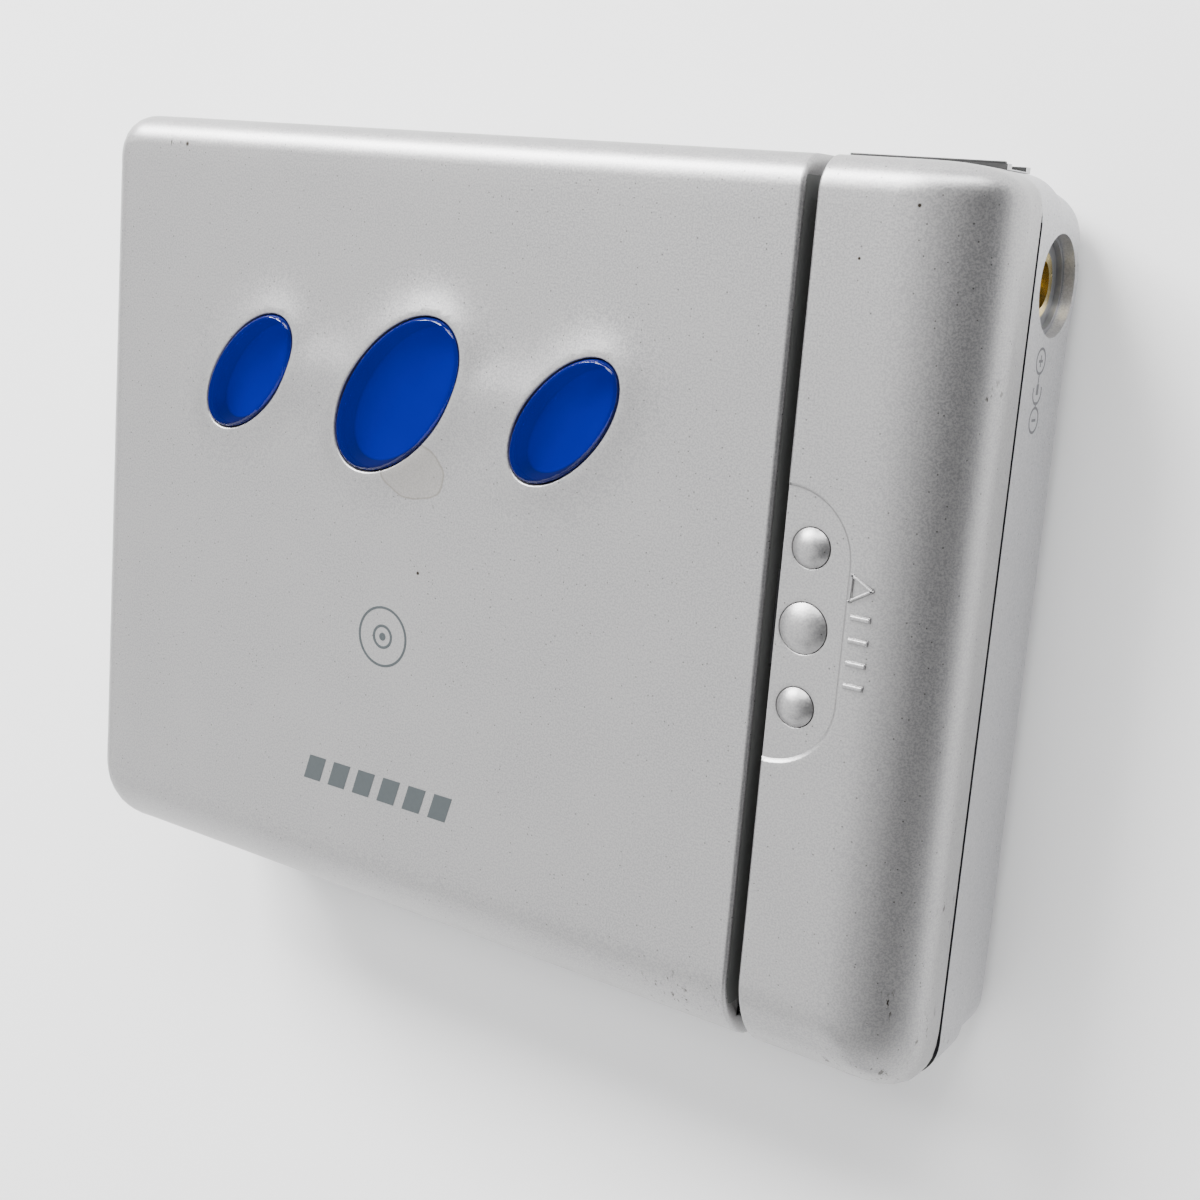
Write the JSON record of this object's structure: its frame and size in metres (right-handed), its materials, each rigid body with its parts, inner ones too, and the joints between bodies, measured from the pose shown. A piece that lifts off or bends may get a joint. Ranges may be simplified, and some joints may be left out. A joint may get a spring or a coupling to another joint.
{
  "type": "portable minidisc player",
  "caption": "Pocket MiniDisc player: silver clamshell case with a hinged lid, slanted oval keys, a sliding lid release and a power inlet.",
  "frame": {"origin": "on the surface that the feet stand on, under the middle of the case with its side keys", "axes": "+X from the lid to the fixed strip, +Y towards the headphone side, +Z out of the lid"},
  "size_m": [0.1002, 0.0818, 0.023],
  "materials": {
    "silver_paint": "fine metallic silver paint on plastic",
    "blue_acrylic": "translucent deep blue, polished",
    "flex_film": "amber polyimide film",
    "spring_steel": "plain",
    "sheet_steel": "stamped, satin",
    "screw_steel": "turned",
    "black_plastic": "moulded",
    "foot_rubber": "matt",
    "coil_copper": "enamelled copper wire",
    "magnet_grey": "sintered",
    "sled_metal": "die cast",
    "lens_glass": "coated",
    "gear_plastic": "natural acetal",
    "sleeve_brass": "plated",
    "board_green": "solder mask",
    "chip_black": "moulded"
  },
  "bodies": {
    "case": {"base_case": "silver_paint", "strip_cover": "silver_paint", "release_retainer": "black_plastic", "battery_spring": "spring_steel", "battery_contact": "spring_steel", "rubber_feet": "foot_rubber", "hinge_pins": "screw_steel", "lid_spring": "spring_steel", "chassis_plate": "sheet_steel", "chassis_screws": "screw_steel", "strip_screw": "screw_steel", "spindle_base": "sheet_steel", "spindle_coils": "coil_copper", "guide_rod": "screw_steel", "sled_motor": "sheet_steel", "motor_bracket": "sheet_steel", "main_board": "board_green", "decoder_chip": "chip_black", "servo_chip": "chip_black", "driver_chip": "chip_black", "board_parts": "chip_black", "board_connector": "gear_plastic", "inlet_housing": "black_plastic", "inlet_sleeve": "sleeve_brass", "inlet_pin": "sleeve_brass", "side_panel": "black_plastic", "headphone_jack": "black_plastic", "headphone_bush": "sleeve_brass", "hold_switch": "black_plastic", "volume_switches": "black_plastic", "release_spring": "spring_steel"},
    "lid": {"lid_cover": "silver_paint", "disc_holder": "sheet_steel", "lid_catch": "sheet_steel", "holder_screws": "screw_steel", "key_circuit": "flex_film", "key_domes": "spring_steel"},
    "skip_back": {"skip_back_key": "blue_acrylic"},
    "play": {"play_key": "blue_acrylic"},
    "skip_forward": {"skip_forward_key": "blue_acrylic"},
    "release": {"open_slider": "silver_paint"},
    "door": {"battery_door": "silver_paint"},
    "spindle": {"rotor_cup": "sheet_steel", "rotor_magnet": "magnet_grey", "spindle_shaft": "screw_steel", "turntable": "black_plastic", "clamp_magnet": "magnet_grey"},
    "sled": {"pickup_sled": "sled_metal", "lens_actuator": "black_plastic", "objective_lens": "lens_glass"},
    "screw": {"lead_screw": "screw_steel", "screw_gear": "gear_plastic"},
    "pinion": {"motor_pinion": "sleeve_brass", "motor_shaft": "screw_steel"},
    "hold": {"hold_knob": "black_plastic"},
    "volume_down": {"volume_down_key": "silver_paint"},
    "volume_up": {"volume_up_key": "silver_paint"}
  },
  "joints": [
    {"name": "lid_hinge", "type": "hinge", "parent": "case", "child": "lid", "pos_m": [-0.0466, 0, 0.0142], "axis": [0, -1, 0], "range_deg": [0, 50]},
    {"name": "skip_back_press", "type": "slide", "parent": "lid", "child": "skip_back", "axis": [0, 0, -1], "range_m": [0, 0.0004], "stiffness_N_per_m": 500},
    {"name": "play_press", "type": "slide", "parent": "lid", "child": "play", "axis": [0, 0, -1], "range_m": [0, 0.0004], "stiffness_N_per_m": 500},
    {"name": "skip_forward_press", "type": "slide", "parent": "lid", "child": "skip_forward", "axis": [0, 0, -1], "range_m": [0, 0.0004], "stiffness_N_per_m": 500},
    {"name": "release_slide", "type": "slide", "parent": "case", "child": "release", "axis": [1, 0, 0], "range_m": [0, 0.001], "stiffness_N_per_m": 300, "deforming": ["release_spring"]},
    {"name": "battery_door_slide", "type": "slide", "parent": "case", "child": "door", "axis": [0, -1, 0], "range_m": [0, 0.055]},
    {"name": "turntable_spin", "type": "hinge", "parent": "case", "child": "spindle", "pos_m": [-0.0086, 0.00085, 0.008], "axis": [0, 0, 1], "continuous": true},
    {"name": "sled_slide", "type": "slide", "parent": "case", "child": "sled", "axis": [0, 1, 0], "range_m": [0, 0.0145]},
    {"name": "screw_spin", "type": "hinge", "parent": "case", "child": "screw", "pos_m": [0.0054, 0.02, 0.0075], "axis": [0, 1, 0], "range_deg": [-20, 1770]},
    {"name": "pinion_spin", "type": "hinge", "parent": "case", "child": "pinion", "pos_m": [0.00915, 0.01, 0.0075], "axis": [0, 1, 0], "range_deg": [-3540, 40]},
    {"name": "hold_slide", "type": "slide", "parent": "case", "child": "hold", "axis": [1, 0, 0], "range_m": [0, 0.0025]},
    {"name": "volume_down_press", "type": "slide", "parent": "case", "child": "volume_down", "axis": [0, 1, 0], "range_m": [0, 0.0005], "stiffness_N_per_m": 500},
    {"name": "volume_up_press", "type": "slide", "parent": "case", "child": "volume_up", "axis": [0, 1, 0], "range_m": [0, 0.0005], "stiffness_N_per_m": 500}
  ],
  "couplings": [
    {"joint": "screw_spin", "follows": "sled_slide", "rad_per_m": 2094.4},
    {"joint": "pinion_spin", "follows": "sled_slide", "rad_per_m": -4188.8}
  ]
}
